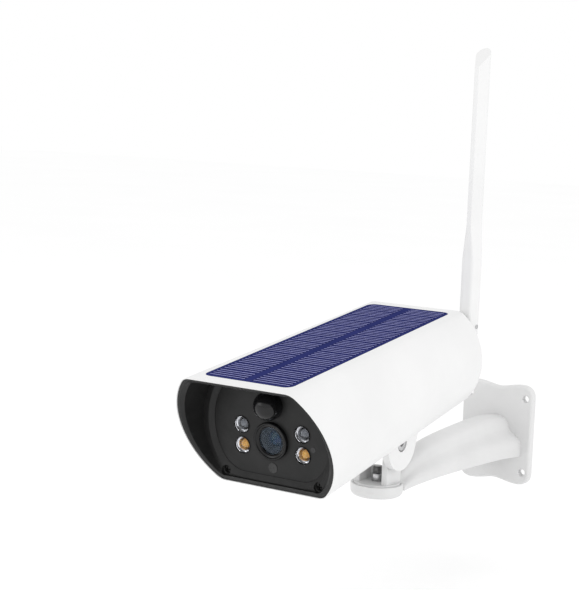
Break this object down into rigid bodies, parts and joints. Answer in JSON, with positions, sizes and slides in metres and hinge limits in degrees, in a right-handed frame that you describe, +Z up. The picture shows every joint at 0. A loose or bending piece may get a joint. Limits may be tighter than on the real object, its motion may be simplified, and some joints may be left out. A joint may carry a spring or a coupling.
{
  "type": "solar security camera",
  "caption": "Barrel security camera with a solar roof, motion sensor, lamps and a folding antenna, on a tilting and panning wall bracket arm.",
  "frame": {"origin": "middle of the wall plate's flat back", "axes": "+Y out of the wall plate's back into the wall, the camera looks towards -Y, +Z up"},
  "size_m": [0.1046, 0.3358, 0.3093],
  "materials": {
    "white_shell": "satin",
    "white_cast": "satin",
    "black_satin": "satin",
    "black_gloss": "gloss",
    "lens_glass": "coated",
    "clear": "clear",
    "lens_metal": "anodised black",
    "cup_chrome": "mirror",
    "ir_dark": "clear grey epoxy",
    "smoke": "smoked",
    "phosphor": "amber phosphor",
    "pir_gloss": "gloss, infrared clear",
    "steel": "zinc plated",
    "screw_black": "black oxide",
    "can": "plain",
    "pcb_green": "solder mask",
    "pcb_black": "black solder mask",
    "silicon": "polished",
    "cell_blue": "polycrystalline",
    "sun_clear": "clear film",
    "sun_back": "blue backing sheet",
    "cell_wrap": "shrink wrap",
    "nickel": "nickel strip",
    "rubber_black": "matt",
    "rubber_white": "matt",
    "grey_plastic": "matt",
    "speaker_cone": "matt"
  },
  "bodies": {
    "bracket": {"wall_bracket": "white_cast", "pan_stud": "steel", "pan_nut": "steel"},
    "swivel": {"swivel_block": "white_cast"},
    "stem": {"antenna_stem": "white_shell", "antenna_clip": "steel"},
    "antenna": {"antenna_fork": "white_shell", "antenna_blade": "white_shell", "antenna_pin": "steel"},
    "power": {"power_button": "grey_plastic"},
    "reset": {"reset_button": "grey_plastic"},
    "flap": {"port_flap": "rubber_white"},
    "head": {"tilt_yoke": "white_shell", "yoke_screws": "steel", "tilt_screw": "steel", "tilt_nut": "steel", "tilt_washers": "steel", "housing": "white_shell", "front_bezel": "black_satin", "front_seal": "rubber_black", "bezel_screws": "screw_black", "face_panel": "black_satin", "lens_ring": "black_gloss", "lens_window": "lens_glass", "lens_barrel": "lens_metal", "lens_element": "lens_glass", "lens_holder": "grey_plastic", "image_sensor": "silicon", "sensor_board": "pcb_green", "board_spacers": "nickel", "lamp_board": "pcb_black", "lamp_board_screws": "steel", "lamp_cups": "cup_chrome", "lamp_windows": "clear", "ir_diodes": "ir_dark", "white_diodes": "phosphor", "motion_lens": "pir_gloss", "motion_sensor": "can", "dusk_window": "grey_plastic", "status_lamp": "smoke", "solar_backing": "sun_back", "solar_cells": "cell_blue", "solar_cover": "sun_clear", "battery_tray": "grey_plastic", "battery_cells": "cell_wrap", "battery_contacts": "nickel", "main_board": "pcb_green", "main_board_screws": "steel", "radio_shield": "can", "card_slot": "can", "board_plugs": "rubber_white", "back_seal": "rubber_black", "back_plate": "white_shell", "back_plate_screws": "steel", "speaker": "speaker_cone", "tact_switches": "black_satin", "button_board": "pcb_green", "charge_inlet": "can", "flap_lugs": "white_shell", "flap_pin": "steel"}
  },
  "joints": [
    {"name": "pan", "type": "hinge", "parent": "bracket", "child": "swivel", "pos_m": [0, -0.1745, -0.0094], "axis": [0, 0, 1], "range_deg": [-90, 90]},
    {"name": "tilt", "type": "hinge", "parent": "swivel", "child": "head", "pos_m": [0, -0.1745, 0.0202], "axis": [1, 0, 0], "range_deg": [-35, 45]},
    {"name": "antenna_swivel", "type": "hinge", "parent": "head", "child": "stem", "pos_m": [0.0328, -0.12703, 0.09201], "axis": [0, 0.9903, 0.1392], "range_deg": [-90, 90]},
    {"name": "antenna_fold", "type": "hinge", "parent": "stem", "child": "antenna", "pos_m": [0.0328, -0.12158, 0.09277], "axis": [1, 0, 0], "range_deg": [-82, 8]},
    {"name": "power_press", "type": "slide", "parent": "head", "child": "power", "axis": [0, -0.9903, -0.1392], "range_m": [0, 0.0012], "stiffness_N_per_m": 900, "springref_m": -0.0006},
    {"name": "reset_press", "type": "slide", "parent": "head", "child": "reset", "axis": [0, -0.9903, -0.1392], "range_m": [0, 0.0012], "stiffness_N_per_m": 900, "springref_m": -0.0006},
    {"name": "flap_swing", "type": "hinge", "parent": "head", "child": "flap", "pos_m": [0.0224, -0.12766, 0.05627], "axis": [0, -0.1392, 0.9903], "range_deg": [0, 100]}
  ]
}
